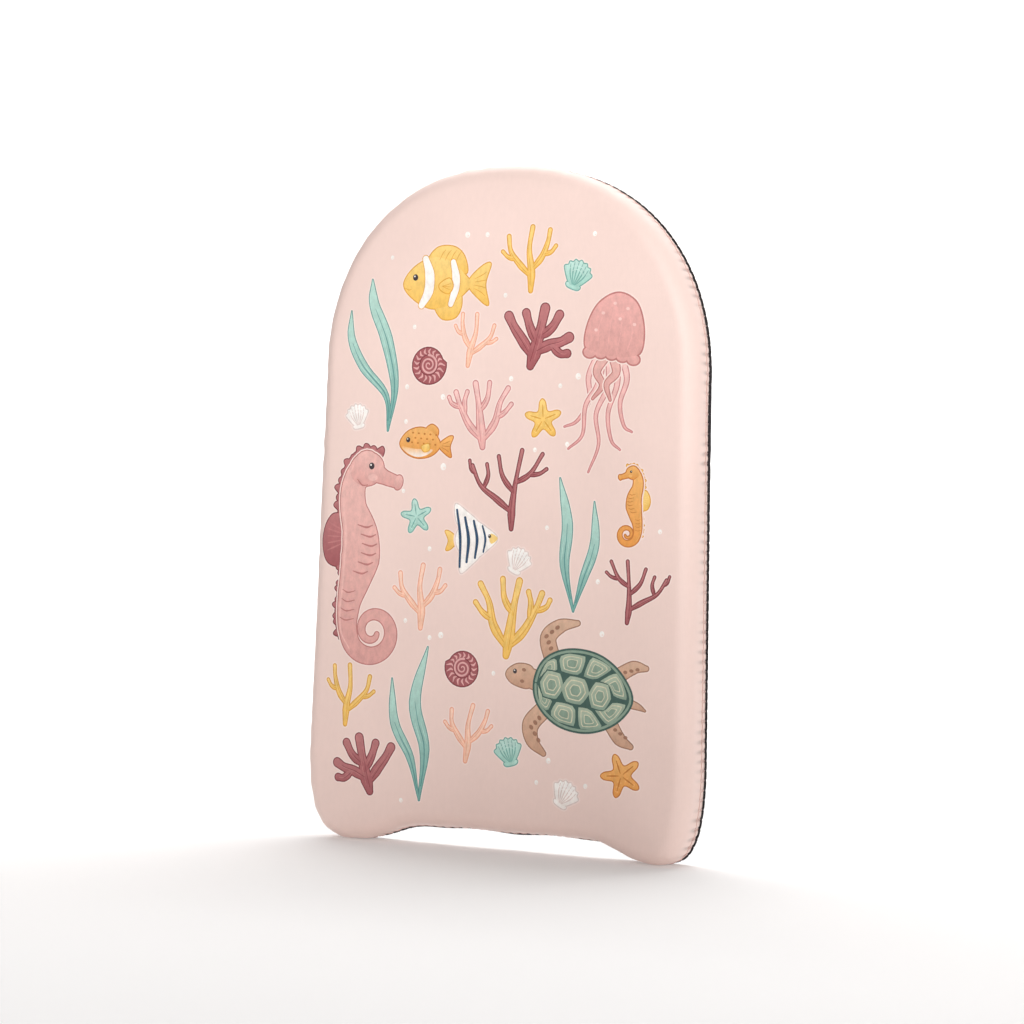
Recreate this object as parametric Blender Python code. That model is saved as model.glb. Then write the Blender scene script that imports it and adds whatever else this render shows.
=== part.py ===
"""Kickboard float: a foam board in a sewn two-piece fabric cover.

Metres, +Z up.  The board stands on the two lobes of its base: X runs across
its width, its printed front faces -Y and its dark back faces +Y.  The origin
is under the middle of the board, at the height of the lobes' lowest points.
"""
import math

import bpy
from mathutils import Vector

# ---- Outline, seen from the front -----------------------------------------
HEIGHT = 0.430           # lobes to the top of the arch
BASE_WIDTH = 0.270       # widest, just above the lobes
SHOULDER_WIDTH = 0.262   # where the sides run into the arch
SHOULDER_HEIGHT = 0.298
ARCH_RISE_POWER = 2.1    # superellipse powers of the arch, 2 being an ellipse
ARCH_RUN_POWER = 2.3
ARCH_LEAN = 0.003        # the arch's apex sits this far off centre, towards -X
BASE_SHIFT = 0.005       # the cut of the base sits this far off centre, towards +X
LOBE_OFFSET = 0.108      # middle of that cut to a lobe's lowest point
LOBE_RISE = 0.058        # height at which a lobe has run into the side
LOBE_FULLNESS = 0.70     # handle length of the lobe's curve, 0.55 being round
NOTCH_HALF_WIDTH = 0.054
NOTCH_DEPTH = 0.013
NOTCH_EASE = 0.45        # handle length of the curve from notch to lobe

# ---- Section through the rim ----------------------------------------------
THICKNESS = 0.033
FRONT_ROUNDING = 0.012
BACK_ROUNDING = 0.0035
FRONT_CROWN = 0.0015     # how far the front stands out in its middle
COVER_THICKNESS = 0.002
CLEARANCE = 0.0003       # between pieces that touch
CORE_SETBACK = COVER_THICKNESS + CLEARANCE

# ---- Seam between the two covers ------------------------------------------
SEAM_Y = 0.0115          # the covers' edges meet here on the rim
SEAM_DEPTH = 0.0011      # how far the thread pulls the edges in
NEEDLE_LINE_DEPTH = 0.0007
SEAM_WIDTH = 0.006       # needle line to the front cover's edge
FRONT_CHANNEL = 0.0075   # the front cover starts to dip this far from the join
BACK_CHANNEL = 0.0013
STITCH_COUNT = 208       # about one stitch every 6 mm
THREAD_RADIUS = 0.0002
THREAD_LIFT = THREAD_RADIUS + CLEARANCE

FRONT_Y = -THICKNESS / 2
BACK_Y = THICKNESS / 2
CENTRE_Z = HEIGHT / 2


def clear_scene():
    for old in list(bpy.data.objects):
        bpy.data.objects.remove(old, do_unlink=True)


def make_material(name, colour, roughness):
    material = bpy.data.materials.new(name)
    material.use_nodes = True
    shader = material.node_tree.nodes["Principled BSDF"]
    shader.inputs["Base Color"].default_value = (*colour, 1.0)
    shader.inputs["Roughness"].default_value = roughness
    shader.inputs["Metallic"].default_value = 0.0
    return material


# ---- Outline ---------------------------------------------------------------
def straight(start, end, steps):
    """Points of a straight line, leaving out its end."""
    return [start.lerp(end, step / steps) for step in range(steps)]


def bezier(start, handle_a, handle_b, end, steps):
    """Points of a cubic curve, leaving out its end."""
    points = []
    for step in range(steps):
        t = step / steps
        s = 1 - t
        points.append(s**3 * start + 3 * s * s * t * handle_a
                      + 3 * s * t * t * handle_b + t**3 * end)
    return points


def half_outline(shift, lean):
    """Right half, from the middle of the notch up to just below the apex."""
    notch_end = Vector((NOTCH_HALF_WIDTH + shift, NOTCH_DEPTH))
    lobe = Vector((LOBE_OFFSET + shift, 0.0))
    side_start = Vector((BASE_WIDTH / 2, LOBE_RISE))
    shoulder = Vector((SHOULDER_WIDTH / 2, SHOULDER_HEIGHT))
    ease = Vector(((LOBE_OFFSET - NOTCH_HALF_WIDTH) * NOTCH_EASE, 0.0))
    reach = Vector(((BASE_WIDTH / 2 - lobe.x) * LOBE_FULLNESS, 0.0))
    drop = Vector((0.0, LOBE_RISE * LOBE_FULLNESS))

    points = straight(Vector((0.0, NOTCH_DEPTH)), notch_end, 3)
    points += bezier(notch_end, notch_end + ease, lobe - ease, lobe, 7)
    points += bezier(lobe, lobe + reach, side_start - drop, side_start, 11)
    points += straight(side_start, shoulder, 6)
    arch_steps = 22
    for step in range(arch_steps):
        angle = math.pi / 2 * step / arch_steps
        rise = math.sin(angle) ** (2 / ARCH_RISE_POWER)
        points.append(Vector((
            shoulder.x * math.cos(angle) ** (2 / ARCH_RUN_POWER) - lean * rise,
            shoulder.y + (HEIGHT - shoulder.y) * rise)))
    return points


def full_outline():
    """Closed outline, anticlockwise from the middle of the notch."""
    right = half_outline(BASE_SHIFT, ARCH_LEAN)
    mirrored = half_outline(-BASE_SHIFT, -ARCH_LEAN)
    left = [Vector((-point.x, point.y)) for point in reversed(mirrored[1:])]
    return right + [Vector((-ARCH_LEAN, HEIGHT))] + left


def outward_normals(outline):
    normals = []
    count = len(outline)
    for index in range(count):
        along = outline[(index + 1) % count] - outline[index - 1]
        normals.append(Vector((along.y, -along.x)).normalized())
    return normals


OUTLINE = full_outline()
NORMALS = outward_normals(OUTLINE)


def ring(inset, y):
    """The outline drawn in by inset, at depth y."""
    return [Vector((point.x - normal.x * inset, y, point.y - normal.y * inset))
            for point, normal in zip(OUTLINE, NORMALS)]


def shrunken_ring(inset, y, share):
    """The same ring, shrunk towards the middle of the face."""
    middle = Vector((0.0, y, CENTRE_Z))
    return [middle + (point - middle) * share for point in ring(inset, y)]


def bow(share, depth):
    """Height lost by a crowned face at this share of the way to its edge."""
    return depth * share * share


# ---- Rim profiles: (inset, y) pairs, at a setback from the cover's outside ---
def front_corner(setback, steps):
    """The rounded front edge, from the face to the flat of the rim."""
    radius = FRONT_ROUNDING - setback
    start_y = FRONT_Y + FRONT_CROWN + setback
    end_y = FRONT_Y + FRONT_ROUNDING
    pairs = []
    for step in range(steps + 1):
        angle = math.pi / 2 * step / steps
        pairs.append((setback + radius * (1 - math.sin(angle)),
                      end_y - (end_y - start_y) * math.cos(angle)))
    return pairs


def back_corner(setback, steps):
    """The rounded back edge, from the flat of the rim to the face."""
    radius = BACK_ROUNDING - setback
    pairs = []
    for step in range(steps + 1):
        angle = math.pi / 2 * step / steps
        pairs.append((setback + radius * (1 - math.cos(angle)),
                      BACK_Y - BACK_ROUNDING + radius * math.sin(angle)))
    return pairs


def front_channel(setback):
    """The front cover's dip towards the seam."""
    return [(setback, SEAM_Y - FRONT_CHANNEL),
            (setback + NEEDLE_LINE_DEPTH, SEAM_Y - SEAM_WIDTH),
            (setback + SEAM_DEPTH, SEAM_Y - CLEARANCE / 2)]


def back_channel(setback):
    """The back cover's dip towards the seam."""
    return [(setback + SEAM_DEPTH, SEAM_Y + CLEARANCE / 2),
            (setback, SEAM_Y + BACK_CHANNEL)]


# ---- Meshes ----------------------------------------------------------------
def loft(rings, start_middle, end_middle):
    """Faces from a middle point, out over the rings and back to another middle point."""
    vertices = [tuple(point) for loop in rings for point in loop]
    count = len(OUTLINE)
    last_ring = (len(rings) - 1) * count
    first = len(vertices)
    vertices += [tuple(start_middle), tuple(end_middle)]
    faces = []
    for near in range(len(rings) - 1):
        far = near + 1
        for index in range(count):
            after = (index + 1) % count
            faces.append((near * count + index, far * count + index,
                          far * count + after, near * count + after))
    for index in range(count):
        after = (index + 1) % count
        faces.append((first, index, after))
        faces.append((first + 1, last_ring + after, last_ring + index))
    return vertices, faces


def add_mesh(name, vertices, faces, material):
    mesh = bpy.data.meshes.new(name)
    mesh.from_pydata(vertices, [], faces)
    mesh.validate()
    mesh.shade_smooth()
    mesh.materials.append(material)
    board_part = bpy.data.objects.new(name, mesh)
    bpy.context.collection.objects.link(board_part)
    return board_part


def front_face_rings(setback, shares):
    """Rings across the crowned front face, from near its middle outwards."""
    inset, edge_y = front_corner(setback, 1)[0]
    middle_y = edge_y - FRONT_CROWN
    return [shrunken_ring(inset, middle_y + bow(share, FRONT_CROWN), share) for share in shares]


def back_face_rings(setback, shares):
    """Rings across the flat back face, from its edge inwards."""
    inset, face_y = back_corner(setback, 1)[-1]
    return [shrunken_ring(inset, face_y, share) for share in shares]


# ---- Pieces ------------------------------------------------------------------
def build_front_cover():
    """Printed cover: the front, the rounded edge and the rim as far as the seam."""
    outer = front_face_rings(0.0, (0.35, 0.7, 0.9))
    outer += [ring(*pair) for pair in front_corner(0.0, 4) + front_channel(0.0)]
    inner = front_face_rings(COVER_THICKNESS, (0.5,))
    inner += [ring(*pair) for pair in front_corner(COVER_THICKNESS, 3)
              + front_channel(COVER_THICKNESS)]
    middle = Vector((0.0, FRONT_Y, CENTRE_Z))
    inner_middle = middle + Vector((0.0, COVER_THICKNESS, 0.0))
    vertices, faces = loft(outer + inner[::-1], middle, inner_middle)
    fabric = make_material("front_cover", (0.86, 0.62, 0.56), 0.75)
    return add_mesh("front_cover", vertices, faces, fabric)


def build_back_cover():
    """Plain dark cover: the back and its edge as far as the seam."""
    outer = [ring(*pair) for pair in back_channel(0.0) + back_corner(0.0, 3)]
    outer += back_face_rings(0.0, (0.5,))
    inner = [ring(*pair) for pair in back_channel(COVER_THICKNESS)
             + back_corner(COVER_THICKNESS, 2)]
    inner += back_face_rings(COVER_THICKNESS, (0.5,))
    middle = Vector((0.0, BACK_Y, CENTRE_Z))
    inner_middle = middle - Vector((0.0, COVER_THICKNESS, 0.0))
    vertices, faces = loft(inner[::-1] + outer, inner_middle, middle)
    fabric = make_material("back_cover", (0.035, 0.032, 0.036), 0.85)
    return add_mesh("back_cover", vertices, faces, fabric)


def build_foam_core():
    """Foam board that fills both covers."""
    rings = front_face_rings(CORE_SETBACK, (0.5,))
    rings += [ring(*pair) for pair in front_corner(CORE_SETBACK, 3)
              + front_channel(CORE_SETBACK)[:2] + [(CORE_SETBACK + SEAM_DEPTH, SEAM_Y)]
              + back_channel(CORE_SETBACK)[1:] + back_corner(CORE_SETBACK, 2)]
    rings += back_face_rings(CORE_SETBACK, (0.5,))
    front_middle = Vector((0.0, FRONT_Y + CORE_SETBACK, CENTRE_Z))
    back_middle = Vector((0.0, BACK_Y - CORE_SETBACK, CENTRE_Z))
    vertices, faces = loft(rings, front_middle, back_middle)
    foam = make_material("foam_core", (0.9, 0.9, 0.88), 0.9)
    return add_mesh("foam_core", vertices, faces, foam)


def around_rim(share, inset, y):
    """A point this share of the way along the outline, drawn in by inset."""
    lengths = [0.0]
    for index, point in enumerate(OUTLINE):
        following = OUTLINE[(index + 1) % len(OUTLINE)]
        lengths.append(lengths[-1] + (following - point).length)
    target = (share % 1.0) * lengths[-1]
    index = max(i for i in range(len(OUTLINE)) if lengths[i] <= target)
    part = (target - lengths[index]) / (lengths[index + 1] - lengths[index])
    after = (index + 1) % len(OUTLINE)
    point = OUTLINE[index].lerp(OUTLINE[after], part)
    normal = NORMALS[index].lerp(NORMALS[after], part)
    return Vector((point.x - normal.x * inset, y, point.y - normal.y * inset))


def add_thread(name, points, colour):
    """A thread run through points and closed on itself."""
    curve = bpy.data.curves.new(name, "CURVE")
    curve.dimensions = "3D"
    curve.bevel_depth = THREAD_RADIUS
    curve.bevel_resolution = 0
    spline = curve.splines.new("POLY")
    spline.points.add(len(points) - 1)
    for spline_point, point in zip(spline.points, points):
        spline_point.co = (*point, 1.0)
    spline.use_cyclic_u = True
    curve.materials.append(make_material(name, colour, 0.6))
    thread = bpy.data.objects.new(name, curve)
    bpy.context.collection.objects.link(thread)
    return thread


def zigzag(first, second):
    """Points that cross between two lines on the rim, once out and back a stitch."""
    points = []
    for stitch in range(STITCH_COUNT):
        points.append(around_rim(stitch / STITCH_COUNT, *first))
        points.append(around_rim((stitch + 0.5) / STITCH_COUNT, *second))
    return points


def build_threads():
    """Overlock seam: a needle thread and the two threads looped over the edges."""
    needle_line = (NEEDLE_LINE_DEPTH - THREAD_LIFT, SEAM_Y - SEAM_WIDTH)
    pink = (0.80, 0.52, 0.48)
    dark = (0.03, 0.03, 0.035)
    upper_start = (NEEDLE_LINE_DEPTH - THREAD_LIFT, SEAM_Y - SEAM_WIDTH + 4 * THREAD_LIFT)
    upper_end = (SEAM_DEPTH - THREAD_LIFT, SEAM_Y - 2 * THREAD_LIFT)
    lower_start = (SEAM_DEPTH - THREAD_LIFT, SEAM_Y)
    lower_end = (THREAD_RADIUS, SEAM_Y + BACK_CHANNEL / 3)
    needle_points = [around_rim(step / (2 * STITCH_COUNT), *needle_line)
                     for step in range(2 * STITCH_COUNT)]
    add_thread("needle_thread", needle_points, pink)
    add_thread("upper_looper_thread", zigzag(upper_start, upper_end), pink)
    add_thread("lower_looper_thread", zigzag(lower_start, lower_end), dark)


clear_scene()
build_foam_core()
build_front_cover()
build_back_cover()
build_threads()
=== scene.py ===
"""Looks of the kickboard float: a stretched, printed cover, a dark back cover and their overlock seam."""
import math

import bpy
import numpy as np
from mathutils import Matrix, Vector
from mathutils.geometry import delaunay_2d_cdt
from mathutils.kdtree import KDTree


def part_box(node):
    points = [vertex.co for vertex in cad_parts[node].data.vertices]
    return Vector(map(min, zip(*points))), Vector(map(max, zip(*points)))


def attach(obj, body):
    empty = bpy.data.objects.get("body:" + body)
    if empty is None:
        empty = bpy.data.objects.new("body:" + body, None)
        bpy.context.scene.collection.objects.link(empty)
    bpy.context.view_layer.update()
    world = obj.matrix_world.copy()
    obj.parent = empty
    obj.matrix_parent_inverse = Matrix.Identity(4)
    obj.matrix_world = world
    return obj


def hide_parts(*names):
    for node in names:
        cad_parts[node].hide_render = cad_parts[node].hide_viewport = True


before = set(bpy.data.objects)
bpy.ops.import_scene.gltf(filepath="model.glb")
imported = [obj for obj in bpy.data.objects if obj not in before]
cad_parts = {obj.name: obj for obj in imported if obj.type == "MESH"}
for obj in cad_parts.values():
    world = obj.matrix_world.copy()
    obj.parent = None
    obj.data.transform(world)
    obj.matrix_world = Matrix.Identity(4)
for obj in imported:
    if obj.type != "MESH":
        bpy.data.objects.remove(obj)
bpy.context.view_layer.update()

MM = 0.001

# ==== The board, in millimetres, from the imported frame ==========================
COVER_LOW, COVER_HIGH = (np.array(corner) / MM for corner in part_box("front_cover"))
BACK_LOW, BACK_HIGH = (np.array(corner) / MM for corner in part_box("back_cover"))
HALF_WIDTH = float(COVER_HIGH[0])
HEIGHT = float(COVER_HIGH[2])
FRONT_Y = float(COVER_LOW[1])
BACK_Y = float(BACK_HIGH[1])
SEAM_Y = float(COVER_HIGH[1] + BACK_LOW[1]) / 2

# Outline, the same curve as the CAD model's
SHOULDER_HALF_WIDTH = HALF_WIDTH - 4.0
SHOULDER_HEIGHT = 298.0
ARCH_RISE_POWER = 2.1
ARCH_RUN_POWER = 2.3
ARCH_LEAN = 3.0
BASE_SHIFT = 5.0
LOBE_OFFSET = 108.0
LOBE_RISE = 58.0
LOBE_FULLNESS = 0.70
NOTCH_HALF_WIDTH = 54.0
NOTCH_DEPTH = 13.0
NOTCH_EASE = 0.45

# Section through the rim
CROWN_REACH = 45.0       # the face starts to fall away this far inside its edge
FACE_EDGE_SLOPE = 6.0    # degrees
BACK_CROWN_REACH = 12.0
BACK_EDGE_SLOPE = 3.0
FRONT_ROUNDING = 12.0
BACK_ROUNDING = 3.5
CHANNEL_RUN = 7.5        # the front cover dips towards the seam over this length
CHANNEL_SLOPE = 9.5      # degrees
CHANNEL_EASE = 2.0       # length of the bend into the dip
BACK_CHANNEL_RUN = 1.3
BACK_CHANNEL_SLOPE = 50.0
BACK_CHANNEL_EASE = 1.0
COVER_THICKNESS = 2.0
LINING_RELIEF = 0.2      # share of the cloth's relief that reaches its inner side
EDGE_GAP = 0.15          # from the middle of the seam to each cover's edge

# Seam
STITCH_COUNT = 208
SEAM_WIDTH = 6.0         # needle line to the front cover's edge
BAR_PHASE = 0.18         # where in a stitch the thread crosses to the edge and back
RIM_STEPS = STITCH_COUNT * 8
BRIDGE_SHARE = 0.16      # of the notch's depth, how far the seam stands off the foam in it
BACK_BRIDGE_EXTRA = 0.55 # share further that the back cover does, except at the seam itself

WANDER_REACH = 13.0      # the front cover follows the seam's wander over this depth
BRIDGE_START_Y = -6.0    # the front cover stands off the notch from here to the seam
BACK_BRIDGE_REACH = 14.0 # and the back cover over this length of its face
BACK_EXTRA_REACH = 3.0   # length in from its edge over which that extra grows
BRIDGE_WAVE = 0.22       # the stand-off comes and goes this much, this many times round the rim
BRIDGE_WAVES = 23

# Relief of the gathered cloth
GATHER = 0.8             # pull of the seam on a straight stretch
CURVE_GATHER = 0.3       # and the most that a tight curve adds
PUCKER_DEPTH = 0.5       # at the front cover's stitches
BACK_PUCKER_DEPTH = 0.03
PUCKER_REACH = 7.0       # full depth from the seam to this far in
PUCKER_FADE = 5.0        # and nearly gone after twice this length more
SEAM_SWELL = 0.1         # the looped thread fills out the cloth between the needle line and the edge
FOLD_PLACE = 14.0        # soft folds are strongest this far in from the seam
FOLD_SPREAD = 9.0


# ==== Outline ===================================================================
def cubic(start, handle_a, handle_b, end, steps):
    t = np.linspace(0.0, 1.0, steps, endpoint=False)[:, None]
    s = 1 - t
    return s**3 * start + 3 * s * s * t * handle_a + 3 * s * t * t * handle_b + t**3 * end


def half_outline(shift, lean):
    """Right half of the outline, from the middle of the notch to the apex."""
    notch_end = np.array([NOTCH_HALF_WIDTH + shift, NOTCH_DEPTH])
    lobe = np.array([LOBE_OFFSET + shift, 0.0])
    side_start = np.array([HALF_WIDTH, LOBE_RISE])
    shoulder = np.array([SHOULDER_HALF_WIDTH, SHOULDER_HEIGHT])
    ease = np.array([(LOBE_OFFSET - NOTCH_HALF_WIDTH) * NOTCH_EASE, 0.0])
    reach = np.array([(HALF_WIDTH - lobe[0]) * LOBE_FULLNESS, 0.0])
    drop = np.array([0.0, LOBE_RISE * LOBE_FULLNESS])
    angle = np.linspace(0.0, math.pi / 2, 400)
    rise = np.sin(angle) ** (2 / ARCH_RISE_POWER)
    arch = np.stack([
        shoulder[0] * np.cos(angle).clip(0) ** (2 / ARCH_RUN_POWER) - lean * rise,
        shoulder[1] + (HEIGHT - shoulder[1]) * rise], axis=1)
    return np.concatenate([
        np.array([[0.0, NOTCH_DEPTH]]),
        cubic(notch_end, notch_end + ease, lobe - ease, lobe, 200),
        cubic(lobe, lobe + reach, side_start - drop, side_start, 200),
        arch])


def evenly(points, count):
    """A closed polyline resampled to count points, evenly along its length."""
    closed = np.concatenate([points, points[:1]])
    lengths = np.concatenate([[0.0], np.cumsum(np.linalg.norm(np.diff(closed, axis=0), axis=1))])
    wanted = np.linspace(0.0, lengths[-1], count, endpoint=False)
    return np.stack([np.interp(wanted, lengths, closed[:, axis]) for axis in (0, 1)], axis=1)


def smooth(t):
    t = np.clip(t, 0.0, 1.0)
    return t * t * (3 - 2 * t)


def softened(values, passes):
    """Values round a closed loop, averaged with their neighbours."""
    for _ in range(passes):
        values = (np.roll(values, 1, axis=0) + 2 * values + np.roll(values, -1, axis=0)) / 4
    return values


def loop_normals(points):
    along = np.roll(points, -1, axis=0) - np.roll(points, 1, axis=0)
    normals = np.stack([along[:, 1], -along[:, 0]], axis=1)
    return normals / np.linalg.norm(normals, axis=1)[:, None]


right_half = half_outline(BASE_SHIFT, ARCH_LEAN)
left_half = half_outline(-BASE_SHIFT, -ARCH_LEAN)[::-1][1:-1] * [-1, 1]
OUTLINE = evenly(np.concatenate([right_half, left_half]), RIM_STEPS)
NORMALS = softened(loop_normals(OUTLINE), 6)
NORMALS /= np.linalg.norm(NORMALS, axis=1)[:, None]


# ==== Sections: a cover's flat pattern wrapped over the edge ====================
def section(face_y, seam_y, rounding, crown_reach, edge_slope, run, slope, ease):
    """How a cover runs from its face over the edge to the seam.

    Position along the section is w, the cloth's own length from the face's edge.
    travel is how far the cloth has gone outwards from there, y its depth, and lean how much
    of its next step goes outwards.
    """
    sign = 1.0 if seam_y > face_y else -1.0
    step = 0.1
    round_length = rounding * math.radians(90 - edge_slope)
    w = np.arange(-crown_reach, 80.0, step)

    def path(channel_start):
        turn = edge_slope * smooth((w + crown_reach) / crown_reach)
        turn += (90 - edge_slope) * (w / round_length).clip(0.0, 1.0)
        turn += slope * smooth((w - channel_start) / ease)
        turn = np.radians(turn)
        travel = np.cumsum(np.cos(turn)) * step
        travel -= np.interp(0.0, w, travel)
        depth = np.cumsum(np.sin(turn)) * step
        return travel, depth

    travel, depth = path(1000.0)
    distance = abs(seam_y - face_y)
    channel_start = float(np.interp(distance - run, depth, w))
    travel, depth = path(channel_start)
    end = float(np.interp(distance - EDGE_GAP, depth, w))
    return {"w": w, "travel": travel, "lean": np.gradient(travel, w), "y": face_y + sign * depth,
            "end": end, "inset": float(travel.max()), "sign": sign, "reach": crown_reach}


FRONT = section(FRONT_Y, SEAM_Y, FRONT_ROUNDING, CROWN_REACH, FACE_EDGE_SLOPE,
                CHANNEL_RUN, CHANNEL_SLOPE, CHANNEL_EASE)
BACK = section(BACK_Y, SEAM_Y, BACK_ROUNDING, BACK_CROWN_REACH, BACK_EDGE_SLOPE,
               BACK_CHANNEL_RUN, BACK_CHANNEL_SLOPE, BACK_CHANNEL_EASE)
for cover in (FRONT, BACK):
    cover["edge"] = OUTLINE - NORMALS * cover["inset"]


def seeded(seed):
    return np.random.default_rng(seed)


def rim_waves(seed, waves, strength):
    """A smooth random function of the share of the way round the rim."""
    random = seeded(seed)
    terms = [(int(random.integers(*waves)), random.uniform(0, 2 * math.pi), random.normal())
             for _ in range(12)]
    scale = strength / math.sqrt(6.0)

    def value(share):
        total = np.zeros_like(share)
        for cycles, phase, size in terms:
            total += size * np.sin(2 * math.pi * cycles * share + phase)
        return total * scale
    return value


def face_waves(seed, shortest, longest, strength):
    """A smooth random function of a place on the board's face."""
    random = seeded(seed)
    terms = []
    for _ in range(14):
        length = random.uniform(shortest, longest)
        heading = random.uniform(0, 2 * math.pi)
        terms.append((2 * math.pi / length * math.cos(heading),
                      2 * math.pi / length * math.sin(heading),
                      random.uniform(0, 2 * math.pi)))
    scale = strength / math.sqrt(7.0)

    def value(places):
        total = np.zeros(len(places))
        for across, up, phase in terms:
            total += np.sin(places[:, 0] * across + places[:, 1] * up + phase)
        return total * scale
    return value


PUCKER_SWELL = rim_waves(3, (9, 40), 0.30)       # slow change in how hard the seam gathers
PUCKER_DRIFT = rim_waves(5, (5, 30), 0.9)        # puckers wander from the stitches
EDGE_FOLDS = rim_waves(7, (45, 110), 0.22)
FACE_UNEVENNESS = face_waves(11, 55.0, 150.0, 0.22)
CURVE_TIGHTNESS = softened(np.abs(
    np.linalg.norm(np.roll(NORMALS, -8, axis=0) - np.roll(NORMALS, 8, axis=0), axis=1)), 60)
CURVE_TIGHTNESS /= CURVE_TIGHTNESS.max()


# How far back the seam wanders, by the share of the way round from the middle of the notch
SEAM_WANDER = softened(np.interp(
    np.arange(RIM_STEPS) / RIM_STEPS,
    (0.00, 0.06, 0.09, 0.13, 0.18, 0.25, 0.32, 0.385, 0.45, 0.55, 0.65, 0.75, 0.85, 0.93, 1.00),
    (0.2, 0.8, 3.0, 3.1, 2.3, 1.1, -1.2, 2.3, 2.6, 1.4, 0.1, -0.6, 0.5, 1.1, 0.2)), 500)

# The seam is pulled tight across the hollow of the notch, so there it stands off the foam
SEAM_BRIDGE = softened(np.where(np.abs(OUTLINE[:, 0]) < LOBE_OFFSET, OUTLINE[:, 1], 0.0)
                       * (OUTLINE[:, 1] < NOTCH_DEPTH + 1.0), 60) * BRIDGE_SHARE


def wandered(depth, share):
    """Depths near the seam, moved with it; both faces stay where they are."""
    ahead = smooth((depth - SEAM_Y + WANDER_REACH) / WANDER_REACH)
    behind = smooth((BACK_Y - depth) / (BACK_Y - SEAM_Y))
    return depth + around(SEAM_WANDER, share) * np.minimum(ahead, behind)


def bridged(cover, share, w, depth):
    """How far the cover stands out from its plain section across the notch."""
    if cover is FRONT:
        amount = smooth((depth - BRIDGE_START_Y) / (SEAM_Y - BRIDGE_START_Y))
    else:
        amount = smooth(1.0 + w / BACK_BRIDGE_REACH)
        amount *= 1.0 + BACK_BRIDGE_EXTRA * smooth((cover["end"] - w) / BACK_EXTRA_REACH)
    wave = 1.0 + BRIDGE_WAVE * np.sin(share * 2 * math.pi * BRIDGE_WAVES + 0.8)
    return around(SEAM_BRIDGE, share) * wave * amount


def nearest_on_loop(places, loop):
    """For each place: its share round the loop, its distance outside it and the foot point."""
    tree = KDTree(len(loop))
    for index, (x, y) in enumerate(loop):
        tree.insert((x, y, 0.0), index)
    tree.balance()
    closest = np.array([tree.find((x, y, 0.0))[1] for x, y in places])
    along = np.roll(loop, -1, axis=0) - loop
    squared = (along**2).sum(axis=1)
    options = []
    for start in ((closest - 1) % len(loop), closest):
        reach = places - loop[start]
        t = ((reach * along[start]).sum(axis=1) / squared[start]).clip(0.0, 1.0)
        foot = loop[start] + along[start] * t[:, None]
        gap = np.linalg.norm(places - foot, axis=1)
        side = along[start][:, 1] * reach[:, 0] - along[start][:, 0] * reach[:, 1]
        options.append(np.column_stack([gap, (start + t) / len(loop), side, foot]))
    before, after = options
    best = np.where(after[:, :1] < before[:, :1], after, before)
    return best[:, 1], best[:, 0] * np.sign(best[:, 2]), best[:, 3:]


def around(values, share):
    """Values given round the rim, read at a share of the way, blending between steps."""
    index = (share % 1.0) * len(values)
    low = np.floor(index).astype(int) % len(values)
    blend = index - np.floor(index)
    high = (low + 1) % len(values)
    if values.ndim == 2:
        blend = blend[:, None]
    return values[low] * (1 - blend) + values[high] * blend


def bell(values, middle, spread):
    return np.exp(-((values - middle) / spread)**2)


def puckers(cover, share, w):
    """How far the gathered cloth stands out of the plain section, and how much shade is painted into its
    creases.
    """
    from_seam = cover["end"] - w
    gather = GATHER + CURVE_GATHER * around(CURVE_TIGHTNESS, share) + PUCKER_SWELL(share)
    stitch = 2 * math.pi * (STITCH_COUNT * share - BAR_PHASE)
    drift = 0.5 * PUCKER_DRIFT(share) * (from_seam / 10).clip(0, 1)
    groove = (0.5 + 0.5 * np.cos(stitch + drift))**2
    near = np.exp(-((from_seam - PUCKER_REACH).clip(0) / PUCKER_FADE)**1.5)
    if cover is FRONT:
        height = PUCKER_DEPTH * gather * (0.4 - groove) * near
        height += SEAM_SWELL * bell(from_seam, SEAM_WIDTH / 2, 1.5)
    else:
        height = BACK_PUCKER_DEPTH * gather * (0.4 - groove) * near
    height += EDGE_FOLDS(share) * bell(from_seam, FOLD_PLACE, FOLD_SPREAD) * gather
    # the second value is the shade painted into the creases between the stitches, strongest in each
    # groove near the seam
    return height, gather * groove * near


def at(cover, measure, w):
    """One of a section's measures, read at places along it."""
    return np.interp(w, cover["w"], cover[measure])


def standing(plan, depth):
    """Points or directions of the upright board, from their plan on its outline and their depths."""
    return np.column_stack([plan[:, 0], depth, plan[:, 1]])


def wrapped(places, cover, lift=0.0, relief=1.0):
    """Places on a cover's flat pattern, moved onto the board in millimetres, and the shade painted into
    its creases.
    """
    share, w, foot = nearest_on_loop(places, cover["edge"])
    inside = w <= 0
    depth = at(cover, "y", w.clip(-cover["reach"], None))
    normal = around(NORMALS, share)
    plan = np.where(inside[:, None], places, foot + normal * at(cover, "travel", w)[:, None])
    lean = at(cover, "lean", w).clip(0, 1)
    height, crease = puckers(cover, share, w)
    raised = (height * (~inside) + FACE_UNEVENNESS(places) * lean) * relief + lift
    out = np.sqrt(1 - lean**2) * raised * (~inside) + bridged(cover, share, w, depth)
    depth = wandered(depth - cover["sign"] * lean * raised, share)
    return standing(plan + normal * out[:, None], depth), crease * (~inside)


def rim_line(cover, from_seam, share, lift):
    """Points on a cover near the seam, at a share of the way round the rim, and the way outwards."""
    w = cover["end"] - from_seam
    normal = around(NORMALS, share)
    depth = at(cover, "y", w)
    lean = at(cover, "lean", w)
    raised = puckers(cover, share, w)[0] + lift
    out = at(cover, "travel", w) + np.sqrt(1 - lean**2) * raised + bridged(cover, share, w, depth)
    plan = around(cover["edge"], share) + normal * out[:, None]
    depth = wandered(depth - cover["sign"] * lean * raised, share)
    return standing(plan, depth), standing(normal, np.zeros(len(normal)))


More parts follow.
